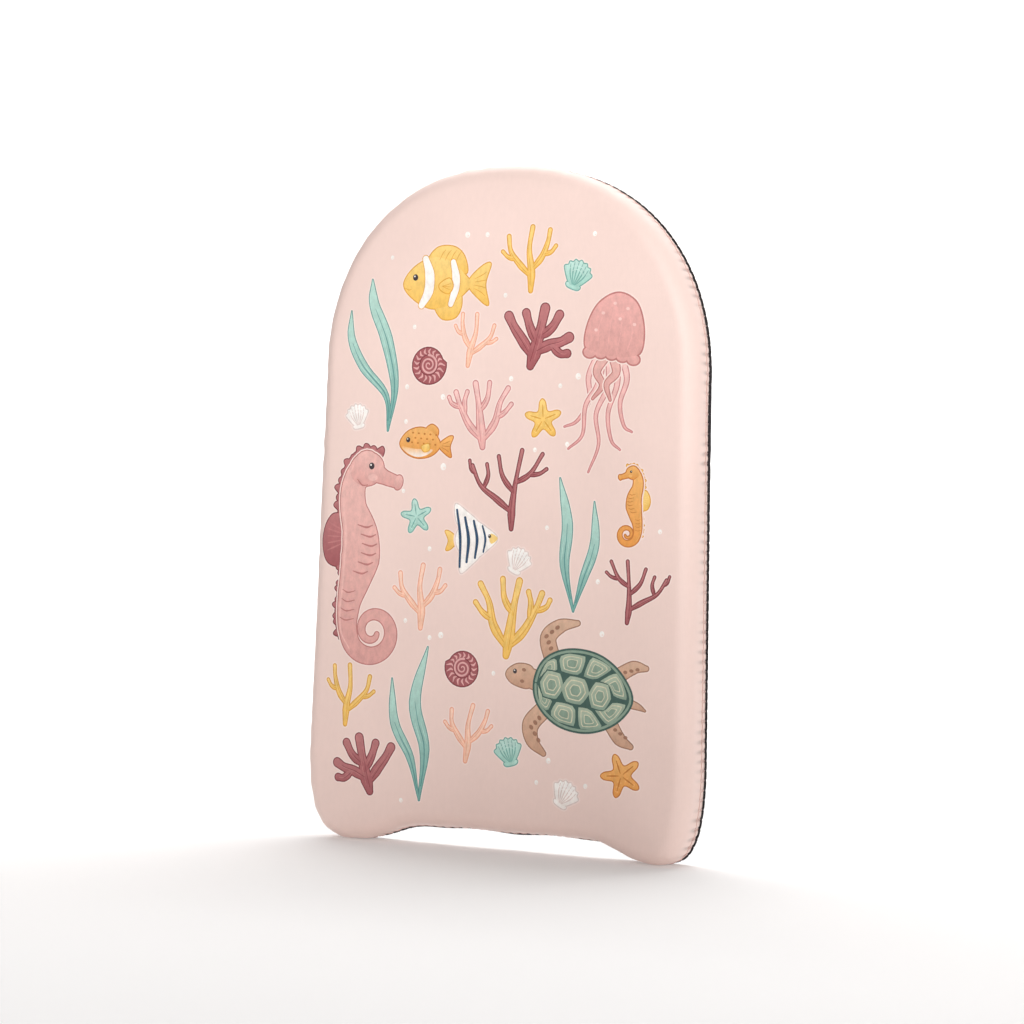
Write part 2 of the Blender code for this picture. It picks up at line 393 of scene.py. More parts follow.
# ==== Print: plain sea shapes in the scene's own drawing =========================
def ink_colour(red, green, blue):
    """A display colour, 0 to 255, as linear light."""
    display = np.array([red, green, blue]) / 255.0
    return np.where(display <= 0.04045, display / 12.92, ((display + 0.055) / 1.055)**2.4)


def tones(*colours):
    """A shape's own colour, its darker outline and the lighter colour that it fades to."""
    return tuple(ink_colour(*colour) for colour in colours)


PINK = ink_colour(240, 213, 204)
HALO = ink_colour(245, 222, 214)
WHITE = ink_colour(250, 245, 240)
INK_BLACK = ink_colour(62, 52, 56)
YELLOW = tones((240, 190, 92), (222, 160, 62), (247, 210, 130))
ORANGE = tones((228, 152, 72), (198, 118, 52), (240, 182, 108))
MINT = tones((160, 206, 193), (112, 168, 158), (196, 225, 215))
WEED = tones((118, 172, 164), (92, 148, 144), (190, 222, 210))
ROSE = tones((219, 161, 154), (191, 122, 118), (234, 186, 178))
PALE_ROSE = tones((232, 174, 168), (206, 134, 134), (242, 200, 194))
PEACH = tones((248, 196, 168), (236, 166, 138), (252, 214, 194))
BURGUNDY = tones((163, 88, 92), (126, 56, 62), (190, 122, 122))
CREAM = tones((247, 238, 232), (226, 206, 200), (252, 248, 244))
NAVY = ink_colour(44, 74, 104)
SKIN = tones((198, 154, 128), (160, 116, 94), (216, 178, 152))
SHELL_GREEN = tones((136, 158, 140), (62, 92, 84), (172, 186, 164))
SCUTE_LINE = ink_colour(212, 208, 180)
SHELL_RIB = ink_colour(222, 168, 166)

EDGE_LINE = 0.36         # half the width of a shape's darker outline
HALO_WIDTH = 0.8
PRINT = []               # in paint order: outline, colour at its foot, colour at its top


def as_points(values):
    return np.array(values, dtype=float)


def curve_through(points, steps=7, closed=False):
    """A smooth line through points."""
    points = as_points(points)
    if closed:
        padded = np.concatenate([points[-1:], points, points[:2]])
    else:
        padded = np.concatenate([2 * points[:1] - points[1:2], points,
                                 2 * points[-1:] - points[-2:-1]])
    t = np.linspace(0.0, 1.0, steps, endpoint=False)[:, None]
    pieces = []
    for before, start, end, after in zip(padded, padded[1:], padded[2:], padded[3:]):
        pieces.append(0.5 * (2 * start + (end - before) * t
                             + (2 * before - 5 * start + 4 * end - after) * t**2
                             + (3 * start - before - 3 * end + after) * t**3))
    line = np.concatenate(pieces)
    return line if closed else np.concatenate([line, points[-1:]])


def loop(*points, steps=7):
    return curve_through(points, steps, closed=True)


def ribbon(points, widths, steps=7):
    """A stroke with round ends along a smooth line, its widths spread evenly along it."""
    line = curve_through(points, steps)
    along = np.gradient(line, axis=0)
    along /= np.linalg.norm(along, axis=1)[:, None]
    side = np.stack([-along[:, 1], along[:, 0]], axis=1)
    places = np.linspace(0.0, 1.0, len(line))
    half = np.interp(places, np.linspace(0.0, 1.0, len(widths)), widths)[:, None] / 2

    def cap(centre, forward, sideways, radius):
        turn = np.linspace(0.0, math.pi, 9)[1:-1, None]
        return centre + radius * (np.cos(turn) * sideways + np.sin(turn) * forward)

    return np.concatenate([
        line - side * half,
        cap(line[-1], along[-1], -side[-1], half[-1]),
        (line + side * half)[::-1],
        cap(line[0], -along[0], side[0], half[0])])


def oval(x, y, half_width, half_height, turn=0.0, steps=30):
    angle = np.linspace(0.0, 2 * math.pi, steps, endpoint=False)
    ring = np.stack([half_width * np.cos(angle), half_height * np.sin(angle)], axis=1)
    return turned(ring, turn) + [x, y]


def turned(points, degrees):
    c, s = math.cos(math.radians(degrees)), math.sin(math.radians(degrees))
    return as_points(points) @ np.array([[c, s], [-s, c]])


def heading(angle):
    return np.array([math.cos(angle), math.sin(angle)])


def signed_area(points):
    after = np.roll(points, -1, axis=0)
    return 0.5 * float((points[:, 0] * after[:, 1] - after[:, 0] * points[:, 1]).sum())


def grown(points, by):
    """A closed outline moved outwards by a distance."""
    if signed_area(points) < 0:
        points = points[::-1]
    along = np.roll(points, -1, axis=0) - np.roll(points, 1, axis=0)
    length = np.linalg.norm(along, axis=1)[:, None].clip(1e-6)
    return points + np.stack([along[:, 1], -along[:, 0]], axis=1) / length * by


class Motif:
    """Draws shapes given in millimetres about its own centre onto the board's print."""

    def __init__(self, x, z, size=1.0, turn=0.0, flip=False):
        self.centre = np.array([x, z])
        self.size = size
        self.turn = turn
        self.flip = -1.0 if flip else 1.0

    def place(self, points):
        return turned(as_points(points) * self.size * [self.flip, 1.0], self.turn) + self.centre

    def flat(self, shape, colour, top=None):
        """One shape in a plain colour, or fading from foot to top."""
        PRINT.append((self.place(shape), colour, colour if top is None else top))

    def fill(self, shapes, colours, halo=True, line=EDGE_LINE):
        """Shapes that read as one: a pale halo, a darker outline and a lighter inside."""
        inside, outline, light = colours
        placed = [self.place(shape) for shape in shapes]
        layers = [(line + HALO_WIDTH, HALO, HALO)] if halo else []
        layers += [(line, outline, outline), (-line, inside, light)]
        for by, foot, top in layers:
            PRINT.extend((grown(shape, by), foot, top) for shape in placed)

    def line(self, points, width, colour, ends=0.5):
        """A drawn line, thinner towards its ends."""
        self.flat(ribbon(points, [width * ends, width, width * ends]), colour)


def starfish(x, z, radius, turn, colours):
    star = Motif(x, z, radius, turn)
    corners = []
    for arm in range(5):
        for offset, reach in ((-36, 0.46), (-11, 0.84), (0, 0.99), (11, 0.84)):
            corners.append(reach * heading(math.radians(90 + 72 * arm + offset)))
    star.fill([loop(*corners, steps=4)], colours)
    for arm in range(5):
        along = heading(math.radians(90 + 72 * arm))
        star.line([along * 0.12, along * 0.4, along * 0.7], 0.07, colours[1])
        for dot in (0.3, 0.52, 0.72):
            for sideways in (-0.1, 0.1):
                spot = along * dot + sideways * (1.1 - dot) * np.array([-along[1], along[0]])
                star.flat(oval(*spot, 0.032, 0.032, steps=10), colours[2])


def spiral_shell(x, z, radius, turn, colours, flip=False):
    shell = Motif(x, z, radius, turn, flip)
    inside, outline, _ = colours
    turns = np.linspace(0.0, 2 * math.pi, 28, endpoint=False)
    reach = 0.86 + 0.18 * turns / (2 * math.pi)
    body = np.stack([reach * np.cos(turns), reach * np.sin(turns)], axis=1)
    shell.fill([body], (inside, outline, inside))
    ribs = 17
    for rib in range(ribs):
        along = heading(2 * math.pi * rib / ribs)
        bend = 0.08 * np.array([-along[1], along[0]])
        outer = 0.79 + 0.15 * rib / ribs
        shell.line([along * 0.56, along * 0.68 + bend, along * outer], 0.12, SHELL_RIB, 0.35)
    inner = np.linspace(0.0, 4.4 * math.pi, 50)
    coil = (0.05 + 0.45 * inner / inner[-1])[:, None] * np.stack(
        [np.cos(inner), np.sin(inner)], axis=1)
    shell.flat(oval(0.0, 0.0, 0.54, 0.54), outline)
    shell.flat(oval(0.0, 0.0, 0.49, 0.49), inside)
    shell.flat(ribbon(coil, [0.06, 0.09, 0.11], steps=2), SHELL_RIB)


def fan_shell(x, z, radius, turn, colours):
    shell = Motif(x, z, radius, turn)
    rim = []
    flutes = 7
    spread = 78
    for step in range(flutes * 2 + 1):
        angle = math.radians(90 + spread - 2 * spread * step / (flutes * 2))
        reach = 0.98 if step % 2 else 0.88
        rim.append((reach * math.cos(angle), reach * math.sin(angle) - 0.15))
    fan = loop(*rim, (0.36, -0.62), (0.0, -0.74), (-0.36, -0.62), steps=5)
    hinge = loop((-0.42, -0.58), (0.42, -0.58), (0.34, -0.86), (-0.34, -0.86), steps=5)
    shell.fill([hinge, fan], colours)
    for rib in range(flutes - 1):
        angle = math.radians(90 + spread * 0.72 * (1 - 2 * (rib + 0.5) / (flutes - 1)))
        tip = np.array([0.80 * math.cos(angle), 0.84 * math.sin(angle) - 0.15])
        root = np.array([tip[0] * 0.16, -0.62])
        middle = (tip + root) / 2 + [tip[0] * 0.16, 0.0]
        shell.line([root, middle, tip], 0.07, colours[1])
    for band in (0.45, 0.66):
        arc = [(band * math.cos(math.radians(a)) * 1.02, band * math.sin(math.radians(a)) - 0.2)
               for a in (150, 120, 90, 60, 30)]
        shell.line(arc, 0.05, colours[2])


def seaweed(x, z, blades, turn=0.0):
    """Blades as (points up their middle, greatest width), all from one root."""
    weed = Motif(x, z, 1.0, turn)
    shares = (0.14, 0.4, 0.8, 1.0, 0.95, 0.7, 0.1)
    weed.fill([ribbon(points, [width * share for share in shares]) for points, width in blades],
              WEED, line=0.3)
    for points, width in blades:
        middle = curve_through(points, 7)
        weed.flat(ribbon(middle[2:-6:3], [0.9, 0.8, 0.3], steps=3), WEED[1])
        for side in (0.24, -0.26):
            weed.flat(ribbon(middle[8:-9:3] + [width * side, 0.0], [0.25, 0.5, 0.2], steps=3), WEED[2])


def coral(x, z, arms, colours, size=1.0, turn=0.0, flip=False):
    """Arms as (points from the root outwards, greatest width, width at the tip)."""
    tree = Motif(x, z, size, turn, flip)
    tree.fill([ribbon(points, [0.55 * wide, wide, (wide + tip) / 2, tip, 1.15 * tip])
               for points, wide, tip in arms], colours)
    for points, wide, tip in arms:
        middle = curve_through(points, 7)
        if len(middle) > 10:
            tree.flat(ribbon(middle[3:-2:3] + [0.14 * wide, 0.0], [0.3, 0.5, 0.3], steps=3), colours[2])
            tree.flat(ribbon(middle[2:-4:3] - [0.12 * wide, 0.0], [0.4, 0.4, 0.2], steps=3), colours[1])


def eye(animal, x, y, radius):
    animal.flat(oval(x, y, radius, radius * 1.1, steps=16), INK_BLACK)
    animal.flat(oval(x - radius * 0.3, y + radius * 0.35, radius * 0.3, radius * 0.3, steps=8), WHITE)


def banded_reef_fish(x, z, turn):
    """A deep-bodied yellow fish with two white bands, 62 mm long, facing -X."""
    fish = Motif(x, z, 1.0, turn)
    body = loop((-31, -2), (-24, 9), (-10, 16), (4, 13), (15, 4), (18, 0),
                (15, -5), (4, -14), (-10, -17), (-24, -11))
    tail = loop((15, 0), (24, 11), (31, 13), (28, 0), (31, -13), (24, -10))
    top_fin = loop((-14, 13), (-8, 22), (4, 23), (12, 17), (14, 6), (0, 10))
    low_fin = loop((-8, -14), (-2, -23), (8, -22), (12, -14), (10, -6), (0, -10))
    fish.fill([tail, top_fin, low_fin, body], YELLOW)
    for ray in range(4):
        fish.line([(20, 3 - 2 * ray), (25, 5.5 - 3.6 * ray), (28, 7.5 - 5 * ray)], 0.55, YELLOW[1])
        fish.line([(-6 + 4 * ray, 14), (-4 + 4 * ray, 18), (-2 + 4 * ray, 20.5)], 0.55, YELLOW[1])
    front_band = ribbon([(-16, 14.4), (-12.5, 5), (-12.5, -6), (-17, -15)], [4.2, 6.6, 6.6, 4.2])
    rear_band = ribbon([(4, 13), (6.5, 4), (6.5, -4), (4, -13.5)], [3.6, 5.4, 5.4, 3.6])
    for band in (front_band, rear_band):
        fish.flat(grown(band, 0.5), YELLOW[1])
        fish.flat(band, CREAM[0], WHITE)
    side_fin = loop((-5, -1), (2, 3), (5, -2), (2, -7), (-4, -5))
    fish.fill([side_fin], YELLOW, halo=False)
    for ray in range(3):
        fish.line([(-3, -2.4), (0, -1.6 - ray), (3, -0.5 - 2 * ray)], 0.45, YELLOW[1])
    eye(fish, -22.5, 2.5, 1.9)
    fish.line([(-29.5, -4.5), (-27, -5.6), (-25, -5.2)], 0.6, YELLOW[1])


def round_fish(x, z, turn):
    """A small round orange fish, 38 mm long, facing -X."""
    fish = Motif(x, z, 1.0, turn)
    body = loop((-18, -1), (-13, 7), (-3, 10.5), (7, 7), (11.5, 0), (6, -7), (-4, -9.5), (-13, -7))
    tail = loop((10, 0), (16, 6), (20, 6.5), (18.5, 0), (20, -6.5), (16, -5.5))
    top_fin = loop((0, 9), (4, 13), (9, 10), (8, 5))
    fish.fill([tail, top_fin, body], ORANGE)
    fish.flat(loop((-16, -3), (-6, -3.6), (6, -3), (2, -7), (-5, -8.6), (-12, -6.6)), CREAM[0],
              ORANGE[2])
    for row in range(3):
        for spot in range(5 - row % 2):
            fish.flat(oval(-9 + 4.2 * spot + 2.1 * (row % 2), 6.4 - 3.1 * row, 0.75, 0.6, steps=10),
                      ORANGE[1])
    for ray in (-1, 0, 1):
        fish.line([(12.5, ray), (15.5, 2.2 * ray), (18, 3.6 * ray)], 0.45, ORANGE[1])
    fish.fill([loop((-2, -1.5), (3, 0.5), (4, -3.5), (0, -5))], YELLOW, halo=False, line=0.3)
    eye(fish, -12, 1.6, 1.5)


def striped_tall_fish(x, z, turn):
    """A tall white fish with dark bands, 36 mm long, facing +X."""
    fish = Motif(x, z, 1.0, turn)
    body = loop((17, 0), (10, 7), (0, 12.5), (-9, 9), (-13, 0), (-9, -9), (0, -12.5), (10, -7))
    top_fin = loop((4, 10), (-4, 18), (-12, 23), (-12, 12), (-6, 6))
    low_fin = loop((4, -10), (-3, -17), (-10, -21), (-11, -12), (-6, -6))
    tail = loop((-11, 0), (-16, 5.5), (-20, 6), (-18, 0), (-20, -6), (-16, -5.5))
    fish.fill([tail], YELLOW, line=0.3)
    fish.fill([top_fin, low_fin, body], CREAM, line=0.35)
    bands = ([(6.5, 8.2), (8.2, 0), (6.5, -8.2)], [(0.5, 11.6), (2.4, 0), (0.5, -11.6)],
             [(-5.5, 14), (-3.6, 0), (-5.5, -14)], [(-11, 19), (-9.4, 2), (-10.5, -17)])
    for points, width in zip(bands, (1.6, 2.1, 2.3, 2.0)):
        fish.flat(ribbon(points, [width * 0.7, width, width * 0.7]), NAVY)
    fish.flat(loop((17, 0), (12.5, 3.2), (11, 0), (12.5, -3.2)), YELLOW[2])
    eye(fish, 11.2, 1.6, 1.1)


def frill(line, count, size, lean):
    """Rounded points that stand off the left-hand side of a line."""
    line = curve_through(line)
    scallops = []
    for step in range(count):
        index = round((step + 0.5) / count * (len(line) - 2))
        along = line[index + 1] - line[index]
        along = along / np.linalg.norm(along)
        out = np.array([along[1], -along[0]])
        reach = size * (1.0 + 0.25 * math.cos(2.4 * step))
        foot = line[index] - out * 0.3 * size
        scallops.append(loop(foot - along * 0.75 * size, foot + along * 0.75 * size,
                             line[index] + along * (0.5 * size + lean * reach) + out * reach * 0.6,
                             line[index] + along * lean * reach + out * reach,
                             line[index] - along * (0.5 * size - lean * reach) + out * reach * 0.6,
                             steps=5))
    return scallops


def seahorse(x, z, height, turn, flip, colours, fin_colours):
    """A seahorse drawn 104 units tall and facing +X, scaled to a height."""
    horse = Motif(x, z, height / 104.0, turn, flip)
    nape = [(6.5, 46), (-1, 48), (-8.5, 43.5), (-13.2, 35), (-15, 26), (-15, 17)]
    low_back = [(-13.2, -5), (-13.4, -14), (-14.6, -23), (-15, -32), (-13, -41)]
    mane = frill(nape, 11, 3.6, -0.3) + [ribbon(nape, [2.0, 5.0, 5.0, 4.0, 3.0])]
    low_mane = frill(low_back, 9, 2.8, 0.0) + [ribbon(low_back, [2.0, 3.0, 3.0, 2.0])]
    fin = loop((-12, 15), (-19, 18), (-24, 11), (-25, 2), (-21, -6), (-13, -5))
    horse.fill(mane + low_mane + [fin], fin_colours)
    for ray in range(5):
        rise = 9 - 3.4 * ray
        horse.line([(-14, 6 + rise * 0.5), (-18, 5.4 + rise * 0.75), (-21.8, 5 + rise)],
                   0.9, fin_colours[2])
    coil = np.radians(np.linspace(180.0, 690.0, 18))
    reach = np.interp(coil, coil[[0, -1]], (13.6, 2.8))
    tail = np.stack([4.8 + reach * np.cos(coil), -37.0 + reach * np.sin(coil)], axis=1)
    spine = [(-1, 41), (-7.5, 33), (-8, 22), (-4, 10), (-3, -1), (-5.5, -12), (-8.3, -22),
             (-9.3, -31)]
    widths = (15, 13, 14.5, 19.5, 21, 16.5, 12.6, 10.8, 9.8, 9.2, 8.6, 8.0, 7.4, 6.9, 6.4, 5.9, 5.4,
              5.0, 4.6, 4.2, 3.8, 3.5, 3.2, 2.9, 2.6)
    trunk = ribbon(np.concatenate([spine, tail]), widths, steps=5)
    head = oval(-1.0, 39.5, 9.6, 8.2, 12)
    snout = ribbon([(2, 39), (9, 35.8), (15.5, 33.8)], [10.5, 7.0, 6.0])
    lip = oval(16.4, 33.6, 2.5, 3.7, -14)
    horse.fill([trunk, head, snout, lip], colours)
    horse.flat(ribbon([(-8.5, 41), (-12.8, 32), (-13.4, 22), (-11.4, 9), (-11.9, -4), (-12.6, -16),
                       (-13.6, -27), (-12.6, -38), (-7.5, -46)], [0.5, 1.1, 1.1, 1.1, 1.0, 0.9, 0.5]),
               colours[2])
    for stripe in range(6):
        level = 12.5 - 4.4 * stripe
        bulge = 5.8 - 0.03 * (level - 3)**2
        horse.line([(bulge - 8.0, level + 0.5), (bulge - 3.2, level - 0.6), (bulge, level + 0.5)],
                   1.0, colours[1])
    for ring in range(4):
        level = -18.0 - 4.4 * ring
        horse.line([(-12.4 - 0.4 * ring, level), (-9.4 - 0.3 * ring, level - 1.3),
                    (-5.4 - 0.1 * ring, level - 0.4)], 0.7, colours[1])
    horse.line([(-6.0, 34.5), (-3.2, 31.8), (-0.2, 32.0)], 0.8, colours[1])
    horse.flat(oval(2.4, 35.6, 2.6, 1.6), colours[2])
    eye(horse, 1.6, 41.0, 1.5)


def jellyfish(x, z, turn):
    """A plain bell with trailing arms, 116 mm from top to tips."""
    jelly = Motif(x, z, 1.0, turn)
    trails = (
        [(-9, 0), (-13, -14), (-10, -28), (-16, -42), (-24, -47)],
        [(-5, -1), (-6, -18), (-12, -32), (-11, -50), (-19, -60)],
        [(-1, -2), (1, -18), (-4, -36), (1, -54), (-3, -72)],
        [(4, -1), (7, -16), (4, -34), (9, -50), (16, -55)],
        [(8, 0), (13, -12), (11, -27), (16, -40), (22, -43)])
    for points in trails:
        jelly.fill([ribbon(points, [4.2, 3.4, 2.6, 1.8, 0.9])], PALE_ROSE, line=0.35)
    frills = ([(-4, 0), (-8, -10), (-3, -18), (-8, -27)], [(2, 0), (5, -9), (0, -17), (4, -26)])
    for points in frills:
        jelly.fill([ribbon(points, [6.5, 5.2, 3.8, 1.6])], ROSE, line=0.35)
    skirt = [oval(-15 + 7.5 * lobe, 1.8 - 0.25 * (lobe - 2)**2, 4.6, 3.6) for lobe in range(5)]
    bell = loop((-19, 4), (-19.5, 18), (-14, 32), (-2, 40), (11, 36), (18.5, 22), (19.5, 6),
                (10, 1), (0, 0), (-10, 1))
    jelly.fill(skirt + [bell], (ROSE[0], ROSE[1], PALE_ROSE[0]), line=0.5)
    for seam in (-1.5, -0.5, 0.5, 1.5):
        jelly.line([(6.5 * seam, 5), (7.6 * seam, 17), (4.6 * seam - 1, 31)], 0.8, PALE_ROSE[0], 0.4)
    for spot in ((-10, 26), (-3, 33), (6, 31), (12, 22), (-13, 15), (2, 24)):
        jelly.flat(oval(*spot, 1.2, 1.0, steps=12), PALE_ROSE[2])


def turtle(x, z, turn):
    """A turtle seen from above, 98 mm from beak to tail, swimming towards -X."""
    animal = Motif(x, z, 1.0, turn)
    flippers = [
        ribbon([(-22, 16), (-27, 28), (-20, 37), (-9, 41)], [11, 11, 8.5, 3.5]),
        ribbon([(-22, -16), (-29, -27), (-26, -37), (-17, -43)], [11, 11.5, 8.5, 3.5]),
        ribbon([(24, 15), (33, 22), (41, 23)], [9, 8, 3.5]),
        ribbon([(24, -15), (32, -23), (40, -26)], [9, 8, 3.5])]
    tail = ribbon([(32, 0), (40, -1), (45, -2.5)], [6, 4, 1.2])
    neck = ribbon([(-28, 0), (-38, 1.5)], [13, 12], steps=4)
    head = loop((-34, 7.5), (-44, 8.5), (-51, 3.5), (-51.5, -1.5), (-45, -5.5), (-34, -5))
    animal.fill(flippers + [tail, neck, head], SKIN)
    for side in (1, -1):
        for spot in range(5):
            animal.flat(oval(-24 - 2.2 * spot + (5.4 if spot > 2 else 0) * (spot - 2),
                             side * (22 + 3.4 * spot), 1.7, 1.3, 40 * side, 12), SKIN[1])
        for spot in range(3):
            animal.flat(oval(28 + 3.8 * spot, side * (18 + 1.6 * spot), 1.4, 1.1, 0, 12), SKIN[1])
        animal.flat(oval(-40, 1.5 + side * 3.6, 1.5, 1.1, steps=12), SKIN[1])
    eye(animal, -46, 3.0, 1.4)
    shell = loop((-32, 0), (-27, 15), (-12, 24), (8, 25), (25, 17), (36, 2), (28, -14),
                 (10, -24), (-11, -24), (-27, -14))
    animal.fill([shell], (SHELL_GREEN[1],) * 3, halo=False, line=0.6)
    animal.flat(ribbon(grown(shell, -1.4)[::3], [1.5], steps=2), SHELL_GREEN[0])
    plates = []
    for middle, half in ((-19.5, 8.5), (-3, 10), (14, 8)):
        left, right = middle - half * 0.55, middle + half * 0.55
        plates.append([(middle - half, 0), (left, 8.2), (right, 8.2),
                       (middle + half, 0), (right, -8.2), (left, -8.2)])
    for side in (1, -1):
        for plate in (
                [(-29.2, 1.6), (-24.5, 8.8), (-17, 9.2), (-19.5, 17.2), (-26, 12.6)],
                [(-14.6, 9.6), (-1.6, 9.6), (1.2, 21.8), (-10, 22), (-17.6, 18.4)],
                [(0.8, 9.6), (9.7, 9.4), (19.5, 18.2), (12, 21.5), (3.6, 22.4)],
                [(12.2, 9.2), (18.2, 8.8), (23.6, 1.4), (33.0, 1.6), (27.4, 12), (21.6, 16.6)]):
            plates.append(as_points(plate) * [1, side])
    for plate in plates:
        rounded = curve_through(plate, 3, closed=True)
        straight = evenly(as_points(plate), 3 * len(plate))
        corners = 0.35 * rounded + 0.65 * straight
        centre = corners.mean(axis=0)
        for share, colour, top in ((0.97, SHELL_GREEN[0], SHELL_GREEN[2]),
                                   (0.74, SCUTE_LINE, SCUTE_LINE),
                                   (0.66, SHELL_GREEN[0], SHELL_GREEN[2]),
                                   (0.42, SCUTE_LINE, SCUTE_LINE),
                                   (0.35, SHELL_GREEN[0], SHELL_GREEN[0])):
            animal.flat(centre + (corners - centre) * share, colour, top)


def bubble(x, z, radius):
    spot = Motif(x, z, radius)
    spot.flat(oval(0, 0, 1.0, 1.15, steps=18), CREAM[0], WHITE)
    spot.flat(oval(0.3, -0.35, 0.34, 0.3, steps=10), HALO)


FAN_CORAL = (
    ([(0, -20), (-1, -8), (-2, 6), (-4, 20)], 6.5, 3.2),
    ([(0, -16), (-9, -6), (-15, 6), (-18, 15)], 5.0, 2.8),
    ([(0, -16), (9, -5), (13, 7), (19, 16)], 5.0, 2.8),
    ([(-2, 2), (4, 10), (6, 20)], 3.8, 2.6),
    ([(-12, 0), (-12, 9), (-10, 15)], 3.4, 2.4),
    ([(10, -2), (16, 1), (21, 6)], 3.4, 2.4),
    ([(-15, 5), (-21, 8), (-23, 12)], 3.0, 2.2))
THIN_CORAL = (
    ([(2, -24), (2, -12), (4, 4), (8, 24)], 5.0, 2.2),
    ([(2, -14), (-9, -6), (-20, 2), (-26, 14)], 4.0, 2.0),
    ([(3, -2), (-5, 8), (-8, 20)], 3.4, 2.0),
    ([(-18, 0), (-15, 8), (-16, 15)], 2.8, 1.8),
    ([(4, 4), (14, 10), (22, 22)], 3.4, 2.0),
    ([(12, 9), (20, 10), (25, 13)], 2.6, 1.8),
    ([(-24, 9), (-27, 12), (-28, 17)], 2.2, 1.6))
CHUNKY_CORAL = (
    ([(-4, -18), (-1, -8), (2, 4), (5, 18)], 9.0, 5.6),
    ([(-3, -12), (-10, -2), (-16, 6), (-20, 13)], 7.0, 5.4),
    ([(-2, -10), (8, -5), (16, -3), (22, 0)], 7.0, 5.6),
    ([(0, -4), (-5, 6), (-8, 15)], 6.0, 4.8),
    ([(2, 0), (10, 6), (15, 14)], 6.0, 5.0),
    ([(10, -5), (16, -10), (21, -10)], 5.4, 4.6))
FORK_CORAL = (
    ([(0, -22), (1, -8), (0, 6), (3, 21)], 5.6, 2.8),
    ([(0, -12), (-8, -3), (-14, 6), (-15, 16)], 4.4, 2.6),
    ([(1, -8), (9, 0), (14, 10), (16, 18)], 4.4, 2.6),
    ([(-10, 0), (-16, 2), (-20, 6)], 3.2, 2.2),
    ([(10, 2), (16, 3), (20, 7)], 3.2, 2.2))


def draw_print():
    """Everything printed on the front, from the arch down to the base."""
    banded_reef_fish(-40, 356, -2)
    coral(18, 371, FORK_CORAL, YELLOW, size=0.92, turn=4)
    fan_shell(51, 361, 11.0, -20, MINT)
    jellyfish(76, 310, -8)
    seaweed(-90, 310, (([(11, -48), (15, -20), (8, 10), (-2, 32), (-4, 48)], 8.5),
                       ([(11, -48), (9, -26), (-8, -8), (-18, 10), (-19, 28)], 6.5)))
    coral(-19, 320, FORK_CORAL, PEACH, size=0.76, turn=-14, flip=True)
    coral(25, 322, CHUNKY_CORAL, BURGUNDY)
    spiral_shell(-51, 304, 12.5, 20, BURGUNDY)
    coral(-12, 273, FAN_CORAL, PALE_ROSE, turn=3)
    starfish(31, 271, 13.0, 4, YELLOW)
    fan_shell(-102, 271, 9.5, 12, CREAM)
    round_fish(-52, 254, -4)
    seahorse(-92, 184, 140, 0, False, ROSE, BURGUNDY)
    coral(9, 227, THIN_CORAL, BURGUNDY, size=1.02)
    starfish(-56, 208, 11.5, 10, MINT)
    striped_tall_fish(-15, 195, 4)
    fan_shell(17, 183, 10, -24, CREAM)
    seaweed(56, 195, (([(0, -42), (-7, -14), (-6, 12), (-12, 40)], 7.5),
                      ([(0, -42), (6, -22), (13, 0), (12, 26)], 6.5)))
    seahorse(93, 220, 51, 0, True, ORANGE, YELLOW)
    coral(96, 166, THIN_CORAL, BURGUNDY, size=0.78, turn=-6, flip=True)
    coral(-52, 158, FORK_CORAL, PEACH, size=0.92, turn=3)
    coral(12, 147, FAN_CORAL, YELLOW, size=1.18, turn=-4, flip=True)
    spiral_shell(-20, 114, 12, -30, BURGUNDY, flip=True)
    turtle(62, 104, -9)
    coral(-101, 93, FORK_CORAL, YELLOW, size=0.88, turn=-8, flip=True)
    seaweed(-58, 79, (([(9, -50), (13, -18), (5, 12), (13, 47)], 8.5),
                      ([(9, -50), (3, -24), (-9, -2), (-12, 26)], 6.5)))
    coral(-88, 49, CHUNKY_CORAL, BURGUNDY, size=0.94, flip=True)
    coral(-15, 74, FORK_CORAL, PEACH, size=0.82, turn=-3)
    fan_shell(14, 64, 10.5, 16, MINT)
    fan_shell(54, 40, 10.5, -30, CREAM)
    starfish(92, 54, 14.0, 22, ORANGE)
    drops = ((-26, 386, 1.7), (-12, 386, 1.4), (-62, 328, 1.3), (2, 348, 1.3), (-40, 284, 1.6),
             (8, 296, 1.5), (-66, 290, 1.4), (54, 298, 1.8), (42, 292, 1.3), (-38, 240, 2.0),
             (-66, 268, 1.3), (48, 256, 1.4), (-66, 224, 1.2), (-46, 188, 1.4), (36, 204, 1.3),
             (112, 204, 1.3), (72, 172, 1.4), (-36, 134, 1.8), (76, 140, 1.6), (-44, 132, 1.4),
             (-62, 142, 1.3), (2, 112, 1.3), (42, 60, 1.6), (68, 46, 1.4), (34, 46, 1.3),
             (-62, 28, 1.3), (26, 252, 1.3), (62, 386, 1.4), (-80, 372, 1.2))
    for x, z, radius in drops:
        bubble(x, z, radius)


# ==== Covers: flat patterns, triangulated and wrapped ============================
def seam_rows(cover, distances, every):
    """Rows of points that run round the pattern at distances in from the seam."""
    rows = []
    edge = cover["edge"][::every]
    normals = NORMALS[::every]
    for row, distance in enumerate(distances):
        points = edge + normals * (cover["end"] - distance)
        if row % 2:
            points = (points + np.roll(points, -1, axis=0)) / 2
        rows.append(points)
    return rows


def inside_loop(places, shape):
    """Which places a closed outline winds round."""
    turns = np.zeros(len(places), dtype=int)
    after = np.roll(shape, -1, axis=0)
    x, y = places[:, 0], places[:, 1]
    for (ax, ay), (bx, by) in zip(shape, after):
        rising = (ay <= y) & (by > y)
        falling = (ay > y) & (by <= y)
        side = (bx - ax) * (y - ay) - (x - ax) * (by - ay)
        turns += rising & (side > 0)
        turns -= falling & (side < 0)
    return turns != 0


